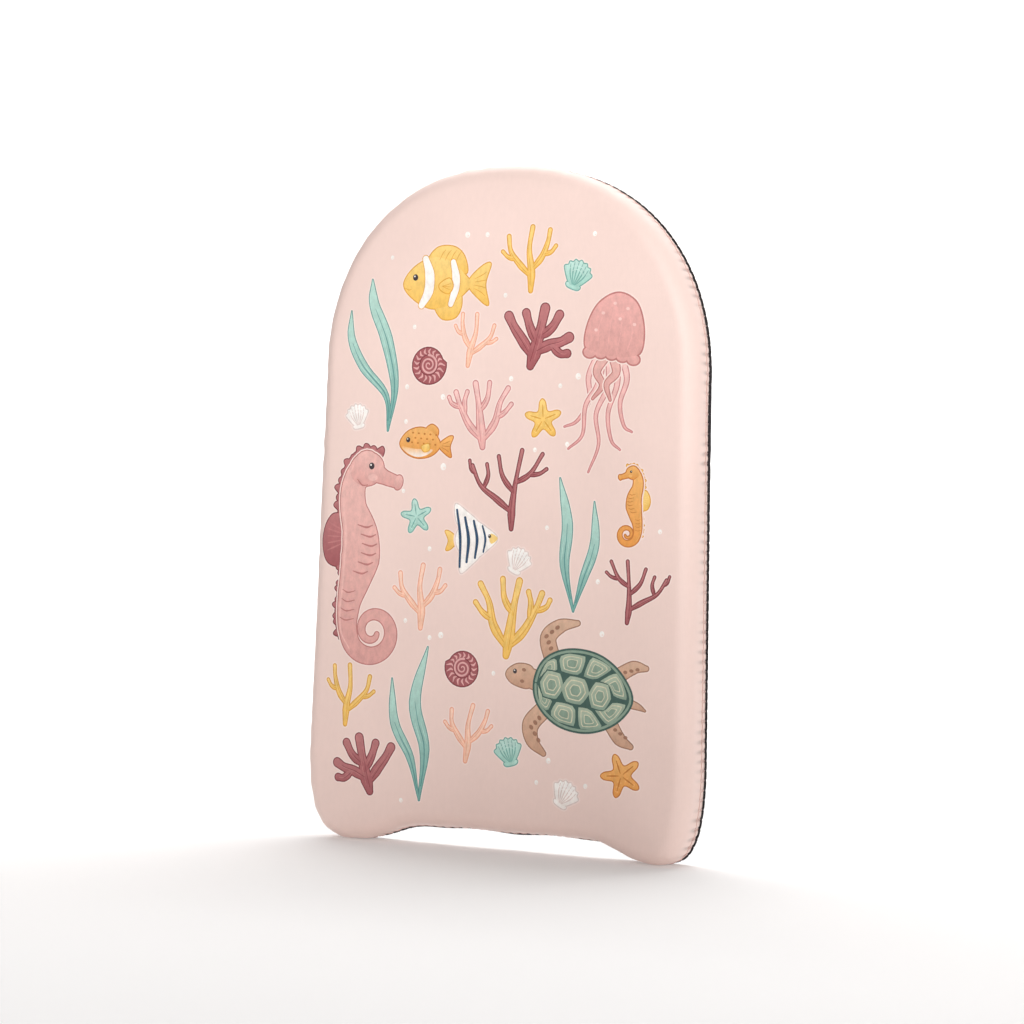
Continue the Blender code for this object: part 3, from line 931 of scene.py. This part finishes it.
def face_grid(cover, spacing, margin):
    """A field of points on the flat of the face, staggered row by row."""
    rise = spacing * math.sqrt(3) / 2
    points = []
    for row, z in enumerate(np.arange(-5.0, HEIGHT + 5.0, rise)):
        shift = spacing / 2 if row % 2 else 0.0
        xs = np.arange(-HALF_WIDTH, HALF_WIDTH, spacing) + shift
        points.append(np.stack([xs, np.full(len(xs), z)], axis=1))
    points = np.concatenate(points)
    _, w, _ = nearest_on_loop(points, cover["edge"][::4])
    return points[w < -margin]


def triangulated(groups, shapes):
    """Triangles over points that keep every line of the closed shapes; the first shape bounds them."""
    points = []
    edges = []
    for shape in shapes:
        first = len(points)
        points += [tuple(point) for point in shape]
        count = len(shape)
        edges += [(first + step, first + (step + 1) % count) for step in range(count)]
    for group in groups:
        points += [tuple(point) for point in group]
    found, _, faces, origins, _, _ = delaunay_2d_cdt(
        [Vector(point) for point in points], edges, [], 0, 1e-4, True)
    places = np.array([tuple(point) for point in found])
    faces = np.array([tuple(face) for face in faces if len(face) == 3])
    kept = inside_loop(places[faces].mean(axis=1), shapes[0])
    rim = np.full(len(shapes[0]), -1)
    for index, sources in enumerate(origins):
        for source in sources:
            if source < len(rim):
                rim[source] = index
    return places, faces[kept], rim


def printed(places, faces, plain):
    """The ink at each triangle's corners, later shapes over earlier ones."""
    middles = places[faces].mean(axis=1)
    corners = places[faces]
    ink = np.tile(plain, (len(faces), 3, 1))
    inked = np.zeros(len(faces))
    for shape, foot, top in PRINT:
        low, high = shape.min(axis=0), shape.max(axis=0)
        near = np.nonzero(((middles >= low) & (middles <= high)).all(axis=1))[0]
        near = near[inside_loop(middles[near], shape)]
        rise = ((corners[near][:, :, 1] - low[1]) / max(high[1] - low[1], 1e-6)).clip(0, 1)
        ink[near] = foot + (top - foot) * rise[:, :, None]
        inked[near] = 0.0 if foot is HALO else 1.0
    return ink, inked


def linked(name, data):
    """A new object in the scene."""
    thing = bpy.data.objects.new(name, data)
    bpy.context.scene.collection.objects.link(thing)
    return thing


def add_layer(piece, name, kind, domain, values):
    """Values for a piece's corners or points, which its material reads by name."""
    layer = piece.data.attributes.new(name, kind, domain)
    part = {"FLOAT": "value", "FLOAT_VECTOR": "vector", "FLOAT_COLOR": "color"}[kind]
    layer.data.foreach_set(part, values.ravel())


def new_piece(name, points, faces, material, replaced):
    """A mesh piece from points in millimetres."""
    mesh = bpy.data.meshes.new(name)
    mesh.from_pydata((points * MM).tolist(), [], faces.tolist())
    mesh.shade_smooth()
    mesh.materials.append(material)
    piece = linked(name, mesh)
    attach(piece, "root")
    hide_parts(replaced)
    return piece


def build_cover(name, cover, outer_groups, shapes, inner_groups, material, plain, replaced):
    """A sheet of cloth with real thickness: printed outside, plain inside, closed along the seam."""
    border = cover["edge"] + NORMALS * cover["end"]
    places, faces, rim = triangulated(outer_groups, [border] + shapes)
    ink, inked = printed(places, faces, plain)
    lining, lining_faces, lining_rim = triangulated(inner_groups, [border])
    outside, crease = wrapped(places, cover)
    inside, _ = wrapped(lining, cover, lift=-COVER_THICKNESS, relief=LINING_RELIEF)
    count = len(places)
    steps = np.arange(len(rim))
    after = (steps + 1) % len(rim)
    edge_faces = np.concatenate([
        np.stack([rim[steps], lining_rim[steps] + count, rim[after]], axis=1),
        np.stack([rim[after], lining_rim[steps] + count, lining_rim[after] + count], axis=1)])
    everything = np.concatenate([faces, lining_faces[:, ::-1] + count, edge_faces])
    if cover["sign"] < 0:
        everything = everything[:, ::-1]
        ink = ink[:, ::-1]
    piece = new_piece(name, np.concatenate([outside, inside]), everything, material, replaced)
    colours = np.ones((len(everything) * 3, 4))
    colours[:, :3] = plain
    colours[:len(faces) * 3, :3] = ink.reshape(-1, 3)
    add_layer(piece, "ink", "FLOAT_COLOR", "CORNER", colours)
    amount = np.zeros(len(everything) * 3)
    amount[:len(faces) * 3] = np.repeat(inked, 3)
    add_layer(piece, "inked", "FLOAT", "CORNER", amount)
    cloth = np.zeros((count + len(lining), 3))
    cloth[:, :2] = np.concatenate([places, lining])
    add_layer(piece, "cloth", "FLOAT_VECTOR", "POINT", cloth)
    # painted shade for the creases near the seam; the lining gets none
    crease_shades = np.concatenate([crease, np.zeros(len(lining))])
    add_layer(piece, "crease", "FLOAT", "POINT", crease_shades)


def build_front_cover(material):
    draw_print()
    # Rows of points at these distances in from the seam, closest at the stitches
    near = [0.8, 1.6, 2.6, 3.6, 4.6, 5.4, 6.0, 6.6, 7.4, 8.4, 9.6, 11.0]
    far = list(np.arange(13.0, FRONT["end"], 2.0))
    inner_face = [FRONT["end"] + gap for gap in (2.5, 5.5, 9.0)]
    groups = seam_rows(FRONT, near, 1) + seam_rows(FRONT, far, 2) + seam_rows(FRONT, inner_face, 4)
    groups.append(face_grid(FRONT, 4.5, 11.0))
    lining = seam_rows(FRONT, [1.5], 1) + seam_rows(FRONT, [4.0], 2)
    lining += seam_rows(FRONT, list(np.arange(8.0, FRONT["end"] + 4, 5.0)), 8)
    lining.append(face_grid(FRONT, 22.0, 12.0))
    build_cover("front_cover_fabric", FRONT, groups, [shape for shape, _, _ in PRINT], lining,
                material, PINK, "front_cover")


def build_back_cover(material):
    near = [0.5, 1.1, 1.8, 2.6, 3.5, 4.5, 5.6, 6.8]
    far = [BACK["end"] + gap for gap in (1.0, 3.0, 6.0, 10.0)]
    groups = seam_rows(BACK, near, 1) + seam_rows(BACK, far, 2)
    groups.append(face_grid(BACK, 6.0, 12.0))
    lining = seam_rows(BACK, [1.0], 1) + seam_rows(BACK, [3.0, 6.0, 9.0], 4)
    lining.append(face_grid(BACK, 22.0, 12.0))
    build_cover("back_cover_fabric", BACK, groups, [], lining,
                material, ink_colour(52, 47, 52), "back_cover")


# ==== Seam threads ===============================================================
THREAD_SIDES = 8
PLY_LENGTH = 1.7         # from one ply to the next along the thread, half a turn of the twist
PLY_RELIEF = 0.16        # share of the radius that the plies stand out
STEPS_PER_STITCH = 18


def thread_tube(name, path, radius, material, replaced):
    """A two-ply thread along a closed path, given as points and the way outwards at each."""
    line, outward = path
    onwards = np.roll(line, -1, axis=0)
    along = onwards - np.roll(line, 1, axis=0)
    step = np.linalg.norm(onwards - line, axis=1)
    travelled = np.concatenate([[0.0], np.cumsum(step)[:-1]])
    along /= np.linalg.norm(along, axis=1)[:, None]
    sideways = np.cross(along, outward)
    sideways /= np.linalg.norm(sideways, axis=1)[:, None]
    up = np.cross(sideways, along)
    angle = np.linspace(0.0, 2 * math.pi, THREAD_SIDES, endpoint=False)
    turns = round(float(step.sum()) / PLY_LENGTH)
    twist = math.pi * turns * travelled / float(step.sum())
    reach = radius * (1 + PLY_RELIEF * np.cos(2 * (angle[None, :] - twist[:, None])))
    points = (line[:, None, :]
              + sideways[:, None, :] * (reach * np.cos(angle))[:, :, None]
              + up[:, None, :] * (reach * np.sin(angle))[:, :, None])
    count = len(line)
    ring = np.arange(count)[:, None] * THREAD_SIDES
    next_ring = np.roll(ring, -1, axis=0)
    side = np.arange(THREAD_SIDES)[None, :]
    next_side = np.roll(side, -1, axis=1)
    faces = np.stack([ring + side, ring + next_side, next_ring + next_side, next_ring + side],
                     axis=2).reshape(-1, 4)
    piece = new_piece(name, points.reshape(-1, 3), faces, material, replaced)
    place = np.zeros((count * THREAD_SIDES, 3))
    place[:, 0] = np.repeat(travelled, THREAD_SIDES)
    place[:, 1] = np.tile(angle / (2 * math.pi), count)
    add_layer(piece, "thread", "FLOAT_VECTOR", "POINT", place)


def build_threads(pink, dark):
    """The overlock's three threads: stitches on the needle line and loops over each edge."""
    stitch = np.arange(STITCH_COUNT * STEPS_PER_STITCH) / STEPS_PER_STITCH
    share = stitch / STITCH_COUNT
    phase = stitch % 1.0
    dip = np.cos(2 * math.pi * phase).clip(0)**4
    swing = smooth(1.5 - np.abs(phase - BAR_PHASE) / 0.1)

    # The needle thread lies on the cloth and dips into it at each hole
    needle = rim_line(FRONT, np.full(len(share), SEAM_WIDTH), share, 0.16 - 0.45 * dip)
    thread_tube("needle_thread_stitches", needle, 0.24, pink, "needle_thread")

    # The upper looper runs near the needle line, crosses to the edge and comes back
    across = SEAM_WIDTH - 0.2 - swing * (SEAM_WIDTH - 0.5)
    upper = rim_line(FRONT, across, share, 0.22 - 0.12 * (swing < 0.05))
    thread_tube("upper_looper_stitches", upper, 0.27, pink, "upper_looper_thread")

    # The lower looper weaves along the back cover, close to its edge
    lower = rim_line(BACK, 0.45 + (1 - swing) * 1.2, share, 0.06)
    thread_tube("lower_looper_stitches", lower, 0.13, dark, "lower_looper_thread")


# ==== Materials ==================================================================
class Nodes:
    """A material's nodes, made and joined by short calls."""

    def __init__(self, name):
        self.material = bpy.data.materials.new(name)
        self.material.use_nodes = True
        self.tree = self.material.node_tree
        self.shader = self.tree.nodes["Principled BSDF"]

    def join(self, source, target):
        if isinstance(source, (int, float)):
            target.default_value = source
        elif isinstance(source, (tuple, list, np.ndarray)):
            values = [float(part) for part in source]
            target.default_value = values + [1.0] * (len(target.default_value) - len(values))
        else:
            self.tree.links.new(source, target)

    def add(self, kind, inputs, **settings):
        """A node with its settings, and its inputs by name or number; gives its outputs."""
        node = self.tree.nodes.new("ShaderNode" + kind)
        for name, value in settings.items():
            setattr(node, name, value)
        for socket, value in inputs.items():
            self.join(value, node.inputs[socket])
        return node.outputs

    def attribute(self, name, output="Vector"):
        return self.add("Attribute", {}, attribute_name=name)[output]

    def place(self):
        return self.add("NewGeometry", {})["Position"]

    def math(self, operation, first, second=0.0, third=0.0):
        return self.add("Math", {0: first, 1: second, 2: third}, operation=operation)[0]

    def scaled(self, vector, factors):
        return self.add("VectorMath", {0: vector, 1: factors}, operation="MULTIPLY")[0]

    def gain(self, colour, factor):
        """A colour with its brightness multiplied."""
        return self.add("VectorMath", {0: colour, "Scale": factor}, operation="SCALE")[0]

    def split(self, vector):
        return self.add("SeparateXYZ", {0: vector})

    def noise(self, vector, scale, detail=2.0, roughness=0.5):
        return self.add("TexNoise", {"Vector": vector, "Scale": scale, "Detail": detail,
                                     "Roughness": roughness})["Fac"]

    def remap(self, value, low, high, to_low, to_high):
        return self.add("MapRange", {"Value": value, "From Min": low, "From Max": high,
                                     "To Min": to_low, "To Max": to_high})[0]

    def mix(self, amount, first, second):
        return self.add("Mix", {"Factor": amount, 6: first, 7: second}, data_type="RGBA")[2]

    def bump(self, height, strength, distance):
        return self.add("Bump", {"Height": height, "Strength": strength, "Distance": distance})[0]

    def finish(self, colour, roughness, normal, sheen, sheen_roughness=0.5, sheen_tint=(1, 1, 1),
               specular=0.25):
        for name, value in (("Base Color", colour), ("Roughness", roughness), ("Normal", normal),
                            ("Sheen Weight", sheen), ("Sheen Roughness", sheen_roughness),
                            ("Sheen Tint", sheen_tint), ("Specular IOR Level", specular)):
            self.join(value, self.shader.inputs[name])
        return self.material


def knit(nodes, cloth, wale, course):
    """Height of a fine plain knit: columns of small V-shaped stitches."""
    x, y, _ = nodes.split(cloth)
    column = nodes.math("FRACT", nodes.math("DIVIDE", x, wale))
    arm = nodes.math("ABSOLUTE", nodes.math("MULTIPLY_ADD", column, 2.0, -1.0))
    row = nodes.math("MULTIPLY_ADD", arm, 0.55, nodes.math("DIVIDE", y, course))
    wave = nodes.math("SINE", nodes.math("MULTIPLY", row, 2 * math.pi))
    stitch = nodes.math("MULTIPLY_ADD", wave, 0.5, 0.5)
    groove = nodes.math("POWER", arm, 5.0)
    return nodes.math("SUBTRACT", stitch, groove)


def printed_fabric():
    """Smooth printed knit: pastel inks, a brushed mottle inside the shapes, a fine knit relief, and shade
    painted into the knit's grooves and the seam's creases.
    """
    nodes = Nodes("printed_fabric")
    cloth = nodes.attribute("cloth")
    ink = nodes.attribute("ink", "Color")
    inked = nodes.attribute("inked", "Fac")
    crease = nodes.attribute("crease", "Fac")
    blotch = nodes.noise(nodes.scaled(cloth, (1.0, 0.55, 1.0)), 0.30, 3.0, 0.6)
    grain = nodes.noise(nodes.scaled(cloth, (1.0, 0.4, 1.0)), 1.9, 2.0, 0.6)
    drift = nodes.noise(cloth, 0.012, 2.0)
    weave = knit(nodes, cloth, wale=0.95, course=0.72)
    brush = nodes.remap(blotch, 0.3, 0.7, -0.09, 0.09)
    brush = nodes.math("ADD", brush, nodes.remap(grain, 0.3, 0.7, -0.045, 0.045))
    plain = nodes.math("ADD", nodes.remap(blotch, 0.3, 0.7, -0.012, 0.012),
                       nodes.remap(drift, 0.3, 0.7, -0.02, 0.02))
    change = nodes.math("ADD", plain, nodes.math("MULTIPLY", brush, inked))
    # painted shade and highlight: the knit's grooves a little darker and its loops a little lighter in
    # colour
    change = nodes.math("ADD", change, nodes.remap(weave, -0.5, 1.0, -0.03, 0.015))
    # painted shade: the cloth's colour is darkened in the seam's creases, where shade falls
    change = nodes.math("SUBTRACT", change, nodes.remap(crease, 0.05, 1.0, 0.0, 0.26))
    colour = nodes.gain(ink, nodes.math("ADD", change, 1.0))
    roughness = nodes.remap(grain, 0.2, 0.8, 0.44, 0.56)
    slub = nodes.noise(nodes.scaled(cloth, (0.25, 2.4, 1.0)), 1.0, 2.0)
    height = nodes.math("MULTIPLY_ADD", slub, 0.6, weave)
    normal = nodes.bump(height, strength=0.35, distance=0.00008)
    return nodes.finish(colour, roughness, normal, sheen=0.12, sheen_roughness=0.45,
                        sheen_tint=(1.0, 0.94, 0.92), specular=0.45)


def dark_fabric():
    """Plain charcoal knit with a soft bloom and a little lint, and painted shade and highlight on its
    knit: darker grooves, lighter loops.
    """
    nodes = Nodes("dark_fabric")
    cloth = nodes.attribute("cloth")
    weave = knit(nodes, cloth, wale=1.1, course=0.85)
    lint = nodes.noise(cloth, 1.4, 4.0, 0.75)
    worn = nodes.noise(cloth, 0.03, 3.0)
    charcoal = ink_colour(38, 33, 35)
    faded = ink_colour(60, 53, 55)
    base = nodes.mix(nodes.remap(worn, 0.4, 0.75, 0.0, 0.35), charcoal, faded)
    speck = nodes.mix(nodes.remap(lint, 0.66, 0.78, 0.0, 0.5), base, ink_colour(96, 92, 96))
    # painted shade and highlight: the knit's grooves darker and its loops lighter in colour
    colour = nodes.gain(speck, nodes.remap(weave, -0.6, 1.0, 0.72, 1.15))
    roughness = nodes.remap(weave, -0.6, 1.0, 0.9, 0.72)
    height = nodes.math("MULTIPLY_ADD", lint, 0.5, weave)
    normal = nodes.bump(height, strength=0.6, distance=0.00012)
    return nodes.finish(colour, roughness, normal, sheen=0.15, sheen_tint=(0.8, 0.82, 0.9))


def thread(name, colour, light):
    """Spun thread: two plies with fine fibres along them, each ply's ridge painted lighter and the groove
    between plies painted darker.
    """
    nodes = Nodes(name)
    place = nodes.attribute("thread")
    travelled, angle, _ = nodes.split(place)
    turn = nodes.math("SUBTRACT", nodes.math("MULTIPLY", angle, 2.0),
                      nodes.math("DIVIDE", travelled, PLY_LENGTH))
    ply = nodes.math("MULTIPLY_ADD", nodes.math("SINE", nodes.math("MULTIPLY", turn, 2 * math.pi)),
                     0.5, 0.5)
    fibre = nodes.noise(nodes.scaled(place, (1.3, 22.0, 1.0)), 2.0, 3.0, 0.7)
    shade = nodes.math("MULTIPLY_ADD", fibre, 0.4, nodes.math("MULTIPLY", ply, 0.6))
    # the mix is partly the fibres' own tone and partly painted light: lighter on each ply's ridge, darker
    # in the groove between plies
    base = nodes.mix(nodes.remap(shade, 0.1, 0.9, 0.0, 1.0), colour, light)
    normal = nodes.bump(shade, strength=0.6, distance=0.00006)
    roughness = nodes.remap(fibre, 0.2, 0.8, 0.5, 0.7)
    return nodes.finish(base, roughness, normal, sheen=0.3, sheen_roughness=0.4)


def foam():
    """Closed-cell foam: fine cells, slightly uneven white."""
    nodes = Nodes("foam")
    place = nodes.place()
    wall = nodes.add("TexVoronoi", {"Vector": place, "Scale": 700.0})["Distance"]
    mottle = nodes.noise(place, 60.0, 3.0)
    colour = nodes.mix(nodes.remap(mottle, 0.3, 0.7, 0.0, 1.0), ink_colour(236, 235, 230),
                       ink_colour(246, 246, 243))
    roughness = nodes.remap(wall, 0.0, 0.8, 0.75, 0.95)
    normal = nodes.bump(wall, strength=0.5, distance=0.0003)
    return nodes.finish(colour, roughness, normal, sheen=0.0)


# ==== Floor, light and camera ====================================================
FLOOR_DROP = 0.0005      # the stitches stand this far below the lobes' lowest points
FLOOR_REACH = 16.0
SWEEP_START = 3.0
SWEEP_RADIUS = 1.5
BACKDROP_HEIGHT = 8.0
FLOOR_GLOW = 0.16        # the floor's own light, as a lit sweep has


def build_floor():
    """A wide pale floor that curves up into a backdrop a long way behind the board."""
    mesh = bpy.data.meshes.new("floor")
    turn = np.linspace(0.0, math.pi / 2, 16)
    profile = [(-FLOOR_REACH, 0.0), (SWEEP_START, 0.0)]
    profile += [(SWEEP_START + SWEEP_RADIUS * math.sin(angle), SWEEP_RADIUS * (1 - math.cos(angle)))
                for angle in turn[1:]]
    profile.append((SWEEP_START + SWEEP_RADIUS, BACKDROP_HEIGHT))
    points = [(x, y, z - FLOOR_DROP) for y, z in profile for x in (-FLOOR_REACH, FLOOR_REACH)]
    faces = [(2 * i, 2 * i + 1, 2 * i + 3, 2 * i + 2) for i in range(len(profile) - 1)]
    mesh.from_pydata(points, [], faces)
    mesh.shade_smooth()
    nodes = Nodes("floor")
    tone = nodes.remap(nodes.noise(nodes.place(), 3.0, 2.0), 0.3, 0.7, 0.0, 1.0)
    colour = nodes.mix(tone, (0.84, 0.84, 0.84), (0.86, 0.86, 0.86))
    nodes.shader.inputs["Emission Color"].default_value = (1.0, 1.0, 1.0, 1.0)
    nodes.shader.inputs["Emission Strength"].default_value = FLOOR_GLOW
    mesh.materials.append(nodes.finish(colour, 0.9, nodes.bump(tone, 0.02, 0.001), 0.0))
    linked("floor", mesh)


def add_light(kind, name, place, aim, power, colour, **settings):
    light = bpy.data.lights.new(name, kind)
    light.energy = power
    light.color = colour
    for setting, value in settings.items():
        setattr(light, setting, value)
    lamp = linked(name, light)
    lamp.location = place
    lamp.rotation_euler = (Vector(aim) - Vector(place)).to_track_quat("-Z", "Y").to_euler()


def build_lights():
    """A soft main light from the right, feathered towards the board's top, and an even surround."""
    add_light("AREA", "front", (2.48, -3.18, 0.75), (0.0, 0.0, 0.25), 36.0, (1.0, 0.985, 0.97),
              shape="RECTANGLE", size=1.2, size_y=1.2)
    add_light("SPOT", "key", (1.94, -2.48, 1.0), (-0.14, 0.0, 0.54), 288.0, (0.98, 1.0, 1.0),
              spot_size=math.radians(21.0), spot_blend=1.0, shadow_soft_size=0.25)
    add_light("AREA", "strip", (2.2, 0.2, 0.45), (0.0, 0.0, 0.25), 2.2, (1.0, 0.985, 0.95),
              shape="RECTANGLE", size=0.2, size_y=1.2)
    add_light("AREA", "overhead", (-0.9, 2.0, 3.2), (-0.9, 2.4, 0.0), 150.0, (1.0, 0.975, 0.965),
              shape="RECTANGLE", size=4.0, size_y=3.5)
    add_light("AREA", "backdrop", (-1.5, 2.4, 3.4), (-1.6, 4.4, 0.6), 60.0, (1.0, 0.985, 0.98),
              shape="RECTANGLE", size=5.0, size_y=1.2)
    world = bpy.data.worlds.new("studio")
    world.use_nodes = True
    surround = world.node_tree.nodes["Background"]
    surround.inputs["Color"].default_value = (1.0, 0.97, 0.955, 1.0)
    surround.inputs["Strength"].default_value = 0.24
    bpy.context.scene.world = world
    bpy.context.scene.view_settings.view_transform = "Standard"


CAMERA_AZIMUTH = 27.0
CAMERA_ELEVATION = 0.2
CAMERA_ROLL = 1.85
CAMERA_DISTANCE = 2.0
CAMERA_SHIFT = (0.0041, -0.0034)
FOCAL_LENGTH = 111.8     # on a 36 mm wide sensor


def build_camera():
    azimuth = math.radians(CAMERA_AZIMUTH)
    elevation = math.radians(CAMERA_ELEVATION)
    back = Vector((math.sin(azimuth) * math.cos(elevation),
                   -math.cos(azimuth) * math.cos(elevation), math.sin(elevation)))
    middle = Vector((0.0, 0.0, HEIGHT * MM / 2))
    lens = bpy.data.cameras.new("camera")
    lens.sensor_width = 36.0
    lens.lens = FOCAL_LENGTH
    lens.shift_x, lens.shift_y = CAMERA_SHIFT
    lens.clip_end = 50.0
    camera = linked("camera", lens)
    camera.location = middle + back * CAMERA_DISTANCE
    camera.rotation_euler = (-back).to_track_quat("-Z", "Y").to_euler()
    camera.rotation_euler.rotate_axis("Z", math.radians(CAMERA_ROLL))
    bpy.context.scene.camera = camera


# ==== Scene ======================================================================
build_camera()
build_lights()
build_floor()
build_front_cover(printed_fabric())
build_back_cover(dark_fabric())
build_threads(thread("pink_thread", ink_colour(204, 162, 154), ink_colour(230, 196, 186)),
              thread("dark_thread", ink_colour(38, 33, 35), ink_colour(66, 59, 62)))
core = bpy.data.objects["foam_core"]
for core_slot in core.material_slots:
    core_slot.material = foam()

bpy.context.view_layer.update()
